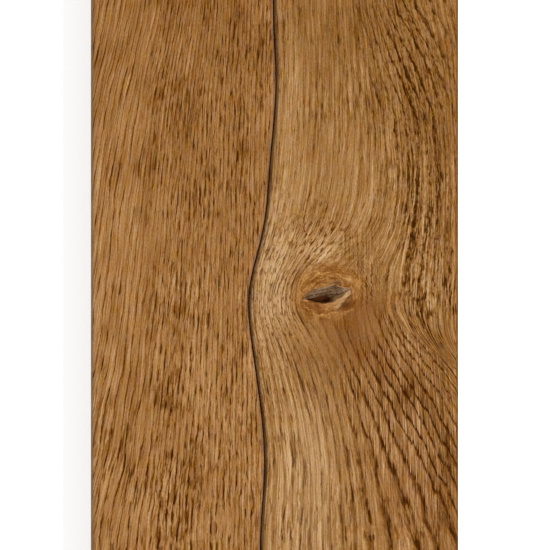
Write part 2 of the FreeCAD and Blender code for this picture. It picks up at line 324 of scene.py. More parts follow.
def hollow_at(x, y):
    """Depth of the hollow under a place on the face, and its shares of head wall and ledge."""
    along, across = knot_place(x, y)
    if abs(along) > KNOT_HALF + 1:
        return 0, 0, 0
    ragged = 0.4 * noise.noise(Vector((along * 0.45, across * 0.3, 3.0)))
    fibres = 0.35 * noise.noise(Vector((along * 0.22, across * 1.7, 7.0)))
    fibres += 0.15 * noise.noise(Vector((along * 0.8, across * 3.5, 1.0)))
    lower_right = LEDGE_RIGHT - LEDGE_ALONG * along + LEDGE_ACROSS * across
    lower_right = min(lower_right, KNOT_HALF - 0.4 - along) + ragged
    lower_left = LEDGE_LEFT + LEDGE_ALONG * along + LEDGE_ACROSS * across
    ledge = smooth_step(0, 1.1, lower_right) * smooth_step(-0.5, 4.5, lower_left)
    shelf = ledge * (0.75 + fibres)
    head_rim = head_rise(along) - 0.1 + ragged - across
    foot_rim = across + FOOT_DROP * (1 - min(abs(along) / KNOT_HALF, 1) ** 2) - 0.1 + ragged
    if head_rim <= 0:
        return 0, 0, 0
    right = smooth_step(-2, 5, along)
    from_head = (1.15 - 0.4 * right) * head_rim * (1 + 0.5 * fibres)
    from_foot = max(foot_rim, 0) * (3.2 - 1.7 * right) + shelf
    wall = smooth_step(-0.4, 0.4, from_foot - from_head)
    depth = min(from_head, from_foot, KNOT_DEPTH)
    return max(0.0, depth + min(depth, 1) * 0.7 * fibres), wall, ledge


# %% [markdown]
# Two fields round the knot are subdivided: every edge in a wide one gets two cuts, and then
# every edge in a tight one gets five. Each field is given by its reach along the knot and its
# two limits across it.

# %% Sink the hollow
FIELDS = (((52, -66, 66), 2), ((17, -13.5, 7), 5))
FULL_SINK = 7


def near_knot(face, reach_along, foot_side, head_side):
    """Whether a face lies on the plank's face and in a field round the knot."""
    middle = face.calc_center_median()
    along, across = knot_place(middle.x / MM, middle.y / MM)
    flat = face.normal.z > 0.99 and middle.z > FACE_LEVEL
    return flat and abs(along) < reach_along and foot_side < across < head_side


def sink_knot(piece):
    """Subdivides the face round the knot, paints the hollow's depth and sinks it."""
    open_piece(piece)
    for field, cuts in FIELDS:
        pick("FACE", lambda face: near_knot(face, *field))
        bpy.ops.mesh.subdivide(number_cuts=cuts, ngon=True)
    bpy.ops.object.mode_set(mode="OBJECT")
    hollow = piece.vertex_groups.new(name="hollow")
    stored = piece.data.attributes.new("hollow_look", "FLOAT_VECTOR", "POINT")
    deepest = 0
    for vertex in piece.data.vertices:
        if vertex.co.z > FACE_LEVEL:
            look = hollow_at(vertex.co.x / MM, vertex.co.y / MM)
            if look[0] > 0:
                hollow.add([vertex.index], min(look[0] / FULL_SINK, 1), "REPLACE")
                stored.data[vertex.index].vector = look
                deepest = max(deepest, look[0])
    sink = piece.modifiers.new("sink", "DISPLACE")
    sink.direction = "Z"
    sink.mid_level = 0
    sink.strength = -FULL_SINK * MM
    sink.vertex_group = "hollow"
    bpy.ops.object.modifier_apply(modifier=sink.name)
    print("hollow sunk", round(deepest, 2), "mm deep in", len(piece.data.polygons), "faces")


sink_knot(right_oak)

# %% [markdown]
# ## The grain
# The wood's fibres are guided by lines, as a carver would pencil them on the board before
# cutting. Each guide says at which x it passes each station along the plank. Between two
# guides and two stations the figure runs smoothly on. The guides of the right strip crowd past
# the left of the knot and fan out below it. Each guide has a number, counted in millimetres
# across the grain, and every vertex gets its own number from the two guides it lies between.

# %% Guides of the grain, in pixels of the photograph's frame
SCALE = 0.59946
MIDDLE_COLUMN = 274.5
MIDDLE_ROW = 275

RIGHT_ROWS = (-980, -420, -120, 0, 50, 100, 150, 200, 230, 255, 275, 292, 310, 330, 350, 380,
              420, 460, 500, 550, 680, 960, 1530)
RIGHT_GUIDES = (
    (279, 262, 271, 272, 274, 274, 270, 266, 262, 256, 250, 248, 248, 250, 253, 256, 261, 263,
     261, 259, 262, 266, 255),
    (295, 280, 287, 287, 288, 287, 284, 279, 273, 266, 261, 259, 259, 262, 267, 273, 280, 284,
     283, 281, 284, 288, 277),
    (311, 298, 303, 303, 304, 303, 301, 296, 289, 280, 273, 269, 269, 274, 281, 290, 299, 304,
     304, 302, 306, 310, 299),
    (327, 316, 319, 319, 320, 320, 318, 313, 305, 293, 284, 279, 279, 285, 293, 302, 311, 316,
     318, 318, 323, 328, 318),
    (343, 334, 335, 335, 337, 338, 337, 332, 322, 307, 294, 289, 289, 298, 307, 317, 326, 331,
     333, 334, 339, 345, 337),
    (359, 352, 350, 350, 353, 356, 356, 352, 341, 321, 303, 299, 300, 311, 322, 333, 344, 352,
     358, 362, 368, 373, 366),
    (375, 368, 361, 362, 368, 373, 375, 373, 364, 343, 326, 322, 322, 328, 340, 351, 364, 376,
     387, 397, 408, 412, 404),
    (391, 384, 370, 374, 382, 390, 394, 394, 388, 374, 360, 356, 356, 359, 363, 378, 400, 420,
     440, 462, 478, 482, 474),
    (409, 402, 382, 386, 397, 407, 412, 413, 408, 402, 399, 398, 398, 408, 424, 448, 474, 500,
     526, 552, 574, 580, 572),
    (427, 420, 398, 402, 415, 424, 429, 430, 429, 427, 425, 424, 424, 428, 440, 464, 492, 520,
     548, 576, 600, 606, 598),
    (445, 438, 418, 423, 434, 441, 444, 445, 445, 445, 444, 443, 443, 444, 452, 474, 502, 532,
     562, 592, 618, 624, 616),
    (463, 458, 440, 446, 454, 459, 461, 462, 462, 462, 462, 461, 461, 462, 468, 488, 516, 546,
     576, 606, 632, 638, 630),
)
RIGHT_UPPER_NUMBERS = (272, 287, 303, 319, 335, 350, 364, 384, 404, 424, 442, 460)
RIGHT_LOWER_NUMBERS = (272, 287, 303, 319, 335, 350, 363, 384, 436, 450, 464, 478)

LEFT_ROWS = (-980, -420, -120, 0, 100, 200, 275, 350, 450, 550, 680, 960, 1530)
LEFT_GUIDES = (
    (62, 60, 66, 52, 30, 12, 0, -12, -34, -56, -64, -66, -62),
    (112, 108, 118, 110, 88, 68, 54, 42, 18, -6, -22, -26, -20),
    (140, 138, 150, 145, 124, 108, 99, 88, 66, 42, 30, 26, 32),
    (168, 168, 178, 175, 158, 145, 137, 128, 112, 92, 84, 82, 88),
    (194, 196, 202, 200, 188, 180, 175, 169, 159, 147, 142, 142, 148),
    (218, 220, 223, 222, 214, 210, 207, 204, 199, 193, 190, 192, 198),
    (243, 244, 246, 245, 241, 238, 236, 235, 233, 231, 230, 232, 238),
    (270, 270, 271, 270, 269, 267, 266, 266, 266, 266, 266, 268, 272),
    (296, 296, 297, 296, 296, 296, 296, 296, 297, 298, 298, 300, 304),
)
LEFT_NUMBERS = (0, 54, 99, 137, 175, 207, 236, 266, 296)


# %% [markdown]
# A guide passes its stations as a smooth curve: a cubic whose slope at each station is that of
# the line through its two neighbours. Which two guides a vertex lies between gives its number.
# Below the face the numbers shift with depth, because the rings stand at a slant in the board.

# %% Read the guides at a place
RING_SLANT = 0.4


def guide_at(rows, guide, row):
    """Gives the column of a guide at a row, on a smooth curve through its stations."""
    last = len(rows) - 1
    if row <= rows[0]:
        return guide[0]
    if row >= rows[last]:
        return guide[last]
    i = max(k for k in range(last) if rows[k] <= row)
    span = rows[i + 1] - rows[i]
    share = (row - rows[i]) / span
    before = max(i - 1, 0)
    after = min(i + 2, last)
    start_slope = (guide[i + 1] - guide[before]) / (rows[i + 1] - rows[before]) * span
    end_slope = (guide[after] - guide[i]) / (rows[after] - rows[i]) * span
    square = share * share
    cube = square * share
    return (
        guide[i] * (2 * cube - 3 * square + 1)
        + start_slope * (cube - 2 * square + share)
        + guide[i + 1] * (3 * square - 2 * cube)
        + end_slope * (cube - square)
    )


def number_at(columns, numbers, column):
    """Gives the number of the grain at a column, from the guides' columns at one row."""
    i = 0
    while i < len(columns) - 2 and columns[i + 1] < column:
        i += 1
    share = (column - columns[i]) / (columns[i + 1] - columns[i])
    return (numbers[i] + share * (numbers[i + 1] - numbers[i])) * SCALE


def mark_grain(piece, rows, guides, number_sets):
    """Writes the grain's numbers onto the vertices, one value for each set of numbers."""
    mesh = piece.data
    stored = mesh.attributes.new("grain", "FLOAT_VECTOR", "POINT")
    known = {}
    for vertex in mesh.vertices:
        row = MIDDLE_ROW - vertex.co.y / MM / SCALE
        column = MIDDLE_COLUMN + vertex.co.x / MM / SCALE
        key = round(row, 3)
        if key not in known:
            known[key] = [guide_at(rows, guide, row) for guide in guides]
        values = [number_at(known[key], numbers, column) for numbers in number_sets]
        slant = RING_SLANT * (THICKNESS - vertex.co.z / MM)
        stored.data[vertex.index].vector = (values[0] + slant, values[-1] + slant, 0)
    print(piece.name, "grain marked on", len(mesh.vertices), "vertices")


mark_grain(left_oak, LEFT_ROWS, LEFT_GUIDES, (LEFT_NUMBERS,))
mark_grain(right_oak, RIGHT_ROWS, RIGHT_GUIDES, (RIGHT_UPPER_NUMBERS, RIGHT_LOWER_NUMBERS))


# %% [markdown]
# Oil and dirt gather along the bevels and darken the wood there. Another attribute marks which
# sides a vertex belongs to: the seam in its first value and the outer edge in its second. The
# depth below the face says the rest.

# %% Mark the sides
def mark_sides(piece):
    """Writes onto each vertex whether it belongs to the seam's side and to the outer side."""
    numbers = [piece.vertex_groups[label].index for label in ("seam", "outer")]
    stored = piece.data.attributes.new("sides", "FLOAT_VECTOR", "POINT")
    for vertex in piece.data.vertices:
        groups = {group.group for group in vertex.groups if group.weight > 0.99}
        seam, outer = (number in groups for number in numbers)
        stored.data[vertex.index].vector = (seam, outer, 0)
    print(piece.name, "sides marked")


mark_sides(left_oak)
mark_sides(right_oak)

# %% [markdown]
# ## Finish the meshes
# Faces that meet at a shallow angle shade as one surface, and sharper ones keep their edge.

# %% Smooth and check
SHALLOW = math.radians(28)
for piece in (left_oak, right_oak):
    open_piece(piece)
    bpy.ops.mesh.select_all(action="SELECT")
    bpy.ops.mesh.normals_make_consistent(inside=False)
    bpy.ops.object.mode_set(mode="OBJECT")
    bpy.ops.object.shade_smooth_by_angle(angle=SHALLOW)
    check = bmesh.new()
    check.from_mesh(piece.data)
    open_edges = sum(1 for edge in check.edges if not edge.is_manifold)
    triangles = len(check.calc_loop_triangles())
    print(piece.name, "open edges", open_edges, "triangles", triangles,
          "volume cm3", round(check.calc_volume() * 1e6, 1))
    check.free()


# %% [markdown]
# ## The oak
# Oak is ring-porous: each year begins with a row of wide pores, which show on a board as dark
# dashes along the fibres, and ends with dense, lighter wood. A few helpers keep the node trees
# readable: they add a node, and link or set its inputs. A Mix node has one set of sockets for
# each kind of value, all with the same names, so its sockets are taken by their places.

# %% Helpers for materials
def feed(tree, socket, value):
    """Links another node's output to a socket, or sets the socket's own value."""
    if isinstance(value, bpy.types.NodeSocket):
        tree.links.new(value, socket)
    else:
        socket.default_value = value


def calc(tree, operation, *values):
    """Adds a math node and gives back its result."""
    made = tree.nodes.new("ShaderNodeMath")
    made.operation = operation
    for socket, value in zip(made.inputs, values):
        feed(tree, socket, value)
    return made.outputs[0]


def times(tree, product, *factors):
    """Multiplies values with each other."""
    for factor in factors:
        product = calc(tree, "MULTIPLY", product, factor)
    return product


def blend_of(tree, share, low, high):
    """Runs from low to high as the share runs from 0 to 1."""
    made = tree.nodes.new("ShaderNodeMix")
    made.data_type = "FLOAT"
    feed(tree, made.inputs[0], share)
    feed(tree, made.inputs[2], low)
    feed(tree, made.inputs[3], high)
    return made.outputs[0]


def tint(tree, share, under, over):
    """Lays one colour over another by a mask."""
    made = tree.nodes.new("ShaderNodeMix")
    made.data_type = "RGBA"
    feed(tree, made.inputs[0], share)
    feed(tree, made.inputs[6], under)
    feed(tree, made.inputs[7], over)
    return made.outputs[2]


def vector_of(tree, x, y, z):
    """Puts three values together into a vector."""
    made = tree.nodes.new("ShaderNodeCombineXYZ")
    for socket, value in zip(made.inputs, (x, y, z)):
        feed(tree, socket, value)
    return made.outputs[0]


def parts_of(tree, vector):
    """Takes a vector apart."""
    made = tree.nodes.new("ShaderNodeSeparateXYZ")
    tree.links.new(vector, made.inputs[0])
    return made.outputs


def noise_of(tree, vector, detail=2.0, roughness=0.5):
    """Adds a noise texture whose size is already in its vector, centred on zero."""
    made = tree.nodes.new("ShaderNodeTexNoise")
    feed(tree, made.inputs["Vector"], vector)
    made.inputs["Scale"].default_value = 1
    made.inputs["Detail"].default_value = detail
    made.inputs["Roughness"].default_value = roughness
    return calc(tree, "SUBTRACT", made.outputs["Fac"], 0.5)


def scaled_noise(tree, x, y, x_scale, y_scale, seed, detail=2.0, roughness=0.5):
    """Adds a noise over two numbers, each times its own scale. The seed tells noises apart."""
    spot = vector_of(tree, times(tree, x, x_scale), times(tree, y, y_scale), seed)
    return noise_of(tree, spot, detail, roughness)


def step_of(tree, value, low, high):
    """Rises smoothly from 0 at low to 1 at high."""
    made = tree.nodes.new("ShaderNodeMapRange")
    made.interpolation_type = "SMOOTHSTEP"
    feed(tree, made.inputs["Value"], value)
    feed(tree, made.inputs["From Min"], low)
    feed(tree, made.inputs["From Max"], high)
    return made.outputs["Result"]


def add_up(tree, start, *shares):
    """Adds to a start the sum of values, each times its own gain."""
    total = start
    for value, gain in shares:
        made = tree.nodes.new("ShaderNodeMath")
        made.operation = "MULTIPLY_ADD"
        feed(tree, made.inputs[0], value)
        feed(tree, made.inputs[1], gain)
        feed(tree, made.inputs[2], total)
        total = made.outputs[0]
    return total


def new_group(name, inputs, outputs):
    """Starts a node group with plain number sockets, and gives back its tree and its ends."""
    tree = bpy.data.node_groups.new(name, "ShaderNodeTree")
    for label, value in inputs:
        socket = tree.interface.new_socket(label, in_out="INPUT", socket_type="NodeSocketFloat")
        socket.default_value = value
    for label in outputs:
        tree.interface.new_socket(label, in_out="OUTPUT", socket_type="NodeSocketFloat")
    return tree, tree.nodes.new("NodeGroupInput").outputs, tree.nodes.new("NodeGroupOutput").inputs


def use_group(tree, group, **values):
    """Places a group in a material and feeds its inputs, with spaces for underscores."""
    made = tree.nodes.new("ShaderNodeGroup")
    made.node_tree = group
    for label, value in values.items():
        feed(tree, made.inputs[label.replace("_", " ").capitalize()], value)
    return made.outputs


# %% [markdown]
# The first group draws the pores and the finer fibres. Its noise is stretched along the grain,
# so it shows dashes on the face and dots on the sawn ends, as the wood's vessels do.

# %% Pores and fibres
pores, into, out = new_group(
    "oak_pores",
    (("Across", 0.0), ("Along", 0.0), ("Depth", 0.0), ("Width", 1.3), ("Length", 14.0)),
    ("Dashes", "Fibres", "Breaks"),
)
across = calc(pores, "DIVIDE", into["Across"], into["Width"])
depth = calc(pores, "DIVIDE", into["Depth"], into["Width"])
along = calc(pores, "DIVIDE", into["Along"], into["Length"])
dashes = noise_of(pores, vector_of(pores, across, along, depth), detail=3, roughness=0.55)
fibres = scaled_noise(pores, across, along, 1.7, 0.4, calc(pores, "ADD", depth, 31.7),
                      detail=4, roughness=0.7)
breaks = scaled_noise(pores, across, along, 0.4, 1.2, calc(pores, "ADD", depth, 77.1),
                      roughness=0.6)
for label, value in (("Dashes", dashes), ("Fibres", fibres), ("Breaks", breaks)):
    feed(pores, out[label], value)
print(pores.name, len(pores.nodes), "nodes")

# %% [markdown]
# The second group draws the growth rings. The ring's place is the fraction of the distance
# across the grain over the ring's width. The width wanders slowly from year to year, and a
# small jitter frays each line.

# %% Growth rings
rings, into, out = new_group(
    "oak_rings",
    (("Across", 0.0), ("Along", 0.0), ("Spacing", 3.0), ("Wander", 4.0), ("Jitter", 0.8),
     ("Width", 0.2), ("Softness", 0.3)),
    ("Early", "Late"),
)
wander = scaled_noise(rings, into["Across"], into["Along"], 0.11, 0.014, 0.0)
jitter = scaled_noise(rings, into["Across"], into["Along"], 0.5, 0.2, 5.0, detail=3)
shifted = add_up(rings, into["Across"], (wander, into["Wander"]), (jitter, into["Jitter"]))
place = calc(rings, "FRACT", calc(rings, "DIVIDE", shifted, into["Spacing"]))
rise = step_of(rings, place, 0.0, 0.12)
fall = step_of(rings, place, calc(rings, "ADD", into["Width"], into["Softness"]), into["Width"])
feed(rings, out["Early"], times(rings, rise, fall))
feed(rings, out["Late"], step_of(rings, place, 0.45, 0.95))
print(rings.name, len(rings.nodes), "nodes")

# %% [markdown]
# The third group puts pores and rings together into one figure: how much darker or paler than
# the plain wood a place is. The pores are darkest in the rows of the early wood. They and the
# rings take separate numbers across, because near the knot the fibres cross the rings. The
# rings' edges are frayed by the fibres that they cross, the pores crowd in some places, and
# faint streaks run far along the board.

# %% The oak's figure
figures, into, out = new_group(
    "oak_figure",
    (("Across", 0.0), ("Ring across", 0.0), ("Along", 0.0), ("Depth", 0.0), ("Spacing", 3.0),
     ("Line width", 0.14), ("Softness", 0.3), ("Line gain", -0.2), ("Pore gain", -0.2),
     ("Row gain", -0.3), ("Fibre gain", 0.9), ("Width", 1.1), ("Length", 10.0),
     ("Fray", 2.2), ("Plenty", 0.0)),
    ("Figure",),
)
pore = use_group(figures, pores, across=into["Across"], along=into["Along"],
                 depth=into["Depth"], width=into["Width"], length=into["Length"])
frayed = add_up(figures, into["Ring across"], (pore["Fibres"], into["Fray"]),
                (pore["Dashes"], -0.8))
ring = use_group(figures, rings, across=frayed, along=into["Along"],
                 spacing=into["Spacing"], width=into["Line width"], softness=into["Softness"])
line = times(figures, ring["Early"], step_of(figures, pore["Breaks"], -0.25, 0.05))
crowding = scaled_noise(figures, into["Across"], into["Along"], 0.08, 0.025, 9.0)
streaks = scaled_noise(figures, into["Across"], into["Along"], 0.6, 0.012, 3.0, detail=3)
crowded = add_up(figures, pore["Dashes"], (crowding, 0.45), (into["Plenty"], 1.0))
pore_gain = add_up(figures, into["Pore gain"], (ring["Early"], into["Row gain"]))
dash = times(figures, step_of(figures, crowded, 0.04, 0.16), pore_gain)
feed(figures, out["Figure"], add_up(
    figures, dash, (pore["Fibres"], into["Fibre gain"]), (ring["Late"], 0.07),
    (line, into["Line gain"]), (streaks, 0.28)))
print(figures.name, len(figures.nodes), "nodes")

# %% [markdown]
# The oil deepens the colour of some areas. A soft patch is a mask that is 1 at its centre and
# fades with distance, and each patch lightens or darkens the wood where the plank shows it.

# %% Soft patches
patch, into, out = new_group(
    "soft_patch",
    (("X", 0.0), ("Y", 0.0), ("Centre x", 0.0), ("Centre y", 0.0), ("Half width", 10.0),
     ("Half length", 10.0), ("Lean", 0.0)),
    ("Mask",),
)
ahead = calc(patch, "SUBTRACT", into["Y"], into["Centre y"])
aside = add_up(patch, calc(patch, "SUBTRACT", into["X"], into["Centre x"]), (ahead, into["Lean"]))
aside = calc(patch, "DIVIDE", aside, into["Half width"])
ahead = calc(patch, "DIVIDE", ahead, into["Half length"])
distance = add_up(patch, times(patch, aside, aside), (ahead, ahead))
feed(patch, out["Mask"], calc(patch, "EXPONENT", times(patch, distance, -1.0)))
print(patch.name, len(patch.nodes), "nodes")


# %% [markdown]
# Both strips use the same oak. One number, the tone, runs from dark pore to pale latewood, and
# a colour ramp turns it into oiled oak. What differs between the strips is their patches, and
# the fan of rings and the knot on the right strip. The oil lies thin and satin, so it shines
# little, and the brush left the fibres a quarter of a millimetre deep at most.

# %% Colours of oiled oak
def linear(red, green, blue):
    """Turns a display colour from 0 to 255 into the linear values that nodes use."""
    channels = []
    for value in (red, green, blue):
        share = value / 255
        channels.append(share / 12.92 if share <= 0.04045 else ((share + 0.055) / 1.055) ** 2.4)
    return (*channels, 1)


OAK_TONES = (
    (0.0, linear(66, 32, 2)), (0.2, linear(97, 57, 16)), (0.35, linear(121, 76, 31)),
    (0.5, linear(143, 96, 47)), (0.65, linear(164, 117, 67)), (0.8, linear(185, 138, 88)),
    (1.0, linear(214, 176, 131)),
)
RAW_TONES = (
    (0.0, linear(116, 84, 50)), (0.4, linear(166, 130, 86)), (0.7, linear(196, 162, 116)),
    (1.0, linear(222, 194, 152)),
)
OIL_SHINE = 0.03
BRUSH_STRENGTH = 0.6
BRUSH_DEPTH = 0.25


def patch_of(tree, x, y, centre_x, centre_y, half_width, half_length, lean):
    """Places one soft patch: its centre and half sizes in mm, and how much it leans."""
    return use_group(tree, patch, x=x, y=y, centre_x=centre_x, centre_y=centre_y,
                     half_width=half_width, half_length=half_length, lean=lean)["Mask"]


def add_patches(tree, tone, x, y, patches):
    """Adds patches to a tone. Each is given as for patch_of, with its gain at the end."""
    for *place, gain in patches:
        tone = add_up(tree, tone, (patch_of(tree, x, y, *place), gain))
    return tone


def mask_of(tree, x, y, *patches):
    """Gives the strongest of several patches at each place."""
    strongest = patch_of(tree, x, y, *patches[0])
    for place in patches[1:]:
        strongest = calc(tree, "MAXIMUM", strongest, patch_of(tree, x, y, *place))
    return strongest


def figure_of(tree, fibres, rows, y, z, **looks):
    """Draws the figure from the numbers across the grain that its fibres and its rings follow."""
    return use_group(tree, figures, across=fibres, ring_across=rows, along=y, depth=z,
                     **looks)["Figure"]


def start_oak(name):
    """Starts an oak material and gives back its tree, shader and the places that it reads."""
    material = bpy.data.materials.new(name)
    material.use_nodes = True
    tree = material.node_tree
    shader = tree.nodes["Principled BSDF"]
    where = tree.nodes.new("ShaderNodeTexCoord")
    x, y, z = (times(tree, part, 1000.0) for part in parts_of(tree, where.outputs["Object"]))
    marks = []
    for label in ("grain", "sides", "hollow_look"):
        mark = tree.nodes.new("ShaderNodeAttribute")
        mark.attribute_name = label
        marks.append(parts_of(tree, mark.outputs["Vector"]))
    return material, tree, shader, (x, y, z), marks


def ramp_of(tree, tone, stops):
    """Turns a tone into colour through a ramp."""
    ramp = tree.nodes.new("ShaderNodeValToRGB")
    made = ramp.color_ramp.elements
    while len(made) < len(stops):
        made.new(0.5)
    for stop, (position, colour) in zip(made, stops):
        stop.position = position
        stop.color = colour
    feed(tree, ramp.inputs["Fac"], tone)
    return ramp.outputs["Color"]


def leave_raw(tree, tone, colour, y, below, sunk):
    """Leaves the wood raw under the bevels: paler, with the planer's marks across it."""
    raw = times(tree, step_of(tree, below, 1.7, 2.0), step_of(tree, sunk, 0.04, 0.0))
    marks = calc(tree, "SINE", times(tree, y, 2.6))
    raw_tone = add_up(tree, 0.1, (tone, 0.75), (marks, 0.02))
    return raw, tint(tree, raw, colour, ramp_of(tree, raw_tone, RAW_TONES))


def vary_hue(tree, colour, x, y, middle, fullness):
    """Lets the hue wander about its middle, rosy to olive, as oil takes unevenly."""
    made = tree.nodes.new("ShaderNodeHueSaturation")
    hue = scaled_noise(tree, x, y, 0.3, 0.09, 15.0, detail=3)
    strength = scaled_noise(tree, x, y, 0.35, 0.12, 18.0, detail=3)
    feed(tree, made.inputs["Hue"], add_up(tree, middle, (hue, 0.028)))
    feed(tree, made.inputs["Saturation"], add_up(tree, fullness, (strength, 0.28)))
    feed(tree, made.inputs["Color"], colour)
    return made.outputs["Color"]


def finish_oak(tree, shader, tone, colour, raw, fibres, y, z):
    """Gives the oak its colour, satin oil and brushed relief. Pores and raw wood are dull."""
    feed(tree, shader.inputs["Base Color"], colour)
    feed(tree, shader.inputs["Roughness"], add_up(tree, 0.75, (tone, -0.25), (raw, 0.2)))
    shader.inputs["Specular IOR Level"].default_value = OIL_SHINE
    brushed = scaled_noise(tree, fibres, y, 0.9, 0.1, times(tree, z, 0.9), detail=3,
                           roughness=0.65)
    bump = tree.nodes.new("ShaderNodeBump")
    bump.inputs["Strength"].default_value = BRUSH_STRENGTH
    bump.inputs["Distance"].default_value = BRUSH_DEPTH * MM
    feed(tree, bump.inputs["Height"], brushed)
    feed(tree, shader.inputs["Normal"], bump.outputs["Normal"])


# %% [markdown]
# The left strip has straight grain: dense fine rows of pores beside the seam, wider wavy rows
# towards the outer edge, and a bold stretch at the lower left. Clouds and fine specks keep the
# tone from being even anywhere.

# %% The left strip's oak
LEFT_TONE = 0.657
LEFT_PATCHES = (
    (-96, 150, 25, 45, 0, -0.05), (-40, 120, 50, 60, 0, -0.05), (-90, -98, 13, 26, 0.2, -0.07),
    (-60, -60, 60, 90, 0, 0.04), (-87, -48, 8, 22, 0, -0.1), (-45, 158, 32, 14, 0, -0.05),
    (-18, 78, 20, 14, 0, -0.05), (-50, 14, 12, 14, 0, -0.06), (-103, -16, 7, 34, 0, 0.07),
    (-56, -12, 12, 14, 0, 0.09), (-77, -134, 16, 15, 0, 0.1), (-104, -108, 6, 16, 0, 0.07),
    (-54, -155, 14, 14, 0, 0.08), (-30, -82, 12, 40, 0, 0.04), (-84, 132, 12, 22, 0, 0.06),
)
left_finish, tree, shader, (x, y, z), (grain, sides, hollow) = start_oak("left_oiled_oak")
number = add_up(tree, grain["X"], (scaled_noise(tree, x, y, 0.11, 0.032, 0.0, detail=3), 2.4),
                (scaled_noise(tree, x, y, 0.5, 0.13, 3.0), 0.4))
clouds = scaled_noise(tree, number, y, 0.07, 0.018, 0.0, detail=3)
bold = mask_of(tree, x, y, (-84, -128, 30, 55, 0))
dense = figure_of(tree, number, number, y, z, spacing=2.85,
                  line_gain=add_up(tree, -0.2, (bold, -0.3)),
                  pore_gain=add_up(tree, -0.22, (bold, -0.12)), width=0.9, fibre_gain=0.85,
                  length=8.0, plenty=0.045)
far_rings = add_up(tree, number, (scaled_noise(tree, x, y, 0.08, 0.02, 7.0, detail=3), 6.0))
sparse = figure_of(tree, number, far_rings, y, z, spacing=4.0, line_width=0.08, softness=0.2,
                   line_gain=add_up(tree, -0.36, (bold, -0.28)),
                   pore_gain=add_up(tree, -0.14, (bold, -0.26)), fibre_gain=1.05, length=14.0)
figure = blend_of(tree, step_of(tree, x, -84.0, -66.0), sparse, dense)
specks = scaled_noise(tree, x, y, 1.1, 0.7, 25.0)
tone = add_up(tree, LEFT_TONE, (figure, 1.15), (clouds, 0.3), (specks, 0.32))
tone = add_patches(tree, tone, x, y, LEFT_PATCHES)
colour = vary_hue(tree, ramp_of(tree, tone, OAK_TONES), x, y, 0.4985, 1.018)
print("left strip's face:", len(tree.nodes), "nodes")

# %% [markdown]
# The seam's bevel is tinted grey-pink, unevenly along the seam, as painted sheen and shade, and
# its foot in the gap is tinted near black as painted shade. The outer bevel, which faces away from
# the key light, is tinted pale as painted light. Both follow the depth below the face, and below
# the bevels the wood was never oiled.

# %% The left strip's edges
below = add_up(tree, float(THICKNESS), (z, -1.0))
bevel = step_of(tree, below, 0.03, 0.3)
# Painted sheen and shade: a grey-pink tint darkens the seam's bevel, unevenly along the seam.
seam_sheen_noise = scaled_noise(tree, x, y, 0.2, 0.12, 6.0, detail=3)
seam_sheen_and_shade = add_up(tree, 0.3, (step_of(tree, seam_sheen_noise, 0.02, 0.14), 0.4))
colour = tint(tree, times(tree, sides["X"], bevel, seam_sheen_and_shade), colour, linear(112, 92, 82))
# Painted light: the outer bevel faces away from the key light and is tinted pale as if lit.
colour = tint(tree, times(tree, sides["Y"], bevel, 0.5), colour, linear(205, 170, 130))
# Painted shade: the foot of the seam's bevel, down in the gap, is tinted near black.
seam_foot_shade = times(tree, sides["X"], step_of(tree, below, 1.2, 1.8), 0.8)
colour = tint(tree, seam_foot_shade, colour, linear(52, 22, 2))
raw, colour = leave_raw(tree, tone, colour, y, below, hollow["X"])
finish_oak(tree, shader, tone, colour, raw, grain["X"], y, z)
print(left_finish.name, len(tree.nodes), "nodes")

# %% [markdown]
# The right strip's grain comes from the guides. Below a line that runs down to the left past
# the knot, the kink, the grain takes its second set of numbers: there the rings fan out
# downwards while the fibres stay upright. Near the knot all lines are warped into curls, and
# below it the wood is smooth.

# %% The right strip's grain
RIGHT_TONE = 0.645
KINK_X = 62.6
KINK_Y = -19.2
KINK_RIGHT = 0.615
KINK_UP = 0.789
RIGHT_PATCHES = (
    (-2, -3, 10, 42, 0, 0.3), (21, -124, 18, 62, 0, 0.16), (7, 88, 9, 60, 0, 0.12),
    (93, -99, 30, 70, 0, -0.06), (93, 132, 28, 48, 0, -0.08), (32, -48, 24, 18, 0, -0.08),
    (25, 14, 16, 12, 0, 0.22), (103, 80, 8, 50, 0, -0.06), (40, 150, 34, 28, 0, -0.13),
    (53, 55, 28, 34, 0, 0.05), (88, -8, 18, 20, 0, 0.18), (62, -50, 16, 34, 0.9, -0.13),
    (103, -132, 10, 34, 0, -0.16), (5, -142, 8, 50, 0, 0.12), (61, -10, 13, 13, 0, -0.11),
    (6, -58, 7, 20, 0, 0.08), (100, -38, 10, 18, 0, -0.08), (84, -158, 10, 12, 0, 0.09),
    (68, -108, 10, 14, 0, 0.1), (38, -132, 10, 14, 0, 0.08),
)
right_finish, tree, shader, (x, y, z), (grain, sides, hollow) = start_oak("right_oiled_oak")
wobble = scaled_noise(tree, x, y, 0.12, 0.04, 0.0)
ripple = scaled_noise(tree, x, y, 0.4, 0.13, 3.0)
curls = scaled_noise(tree, x, y, 0.45, 0.4, 2.0, detail=3)
curl_reach = mask_of(tree, x, y, (50, -8, 15, 22, 0), (34, -2, 22, 16, 0))
curling = times(tree, curls, curl_reach, 5.5)
upper = calc(tree, "ADD", add_up(tree, grain["X"], (wobble, 1.7), (ripple, 0.35)), curling)
lower = calc(tree, "ADD", add_up(tree, grain["Y"], (wobble, 1.1), (ripple, 0.2)), curling)
past_kink = add_up(tree, KINK_RIGHT * KINK_X + KINK_UP * KINK_Y, (x, -KINK_RIGHT),
                   (y, -KINK_UP))
kink = step_of(tree, past_kink, -2, 3)
fan = mask_of(tree, x, y, (82, -85, 42, 75, 0.3))
crisp = mask_of(tree, x, y, (95, 10, 26, 70, 0))
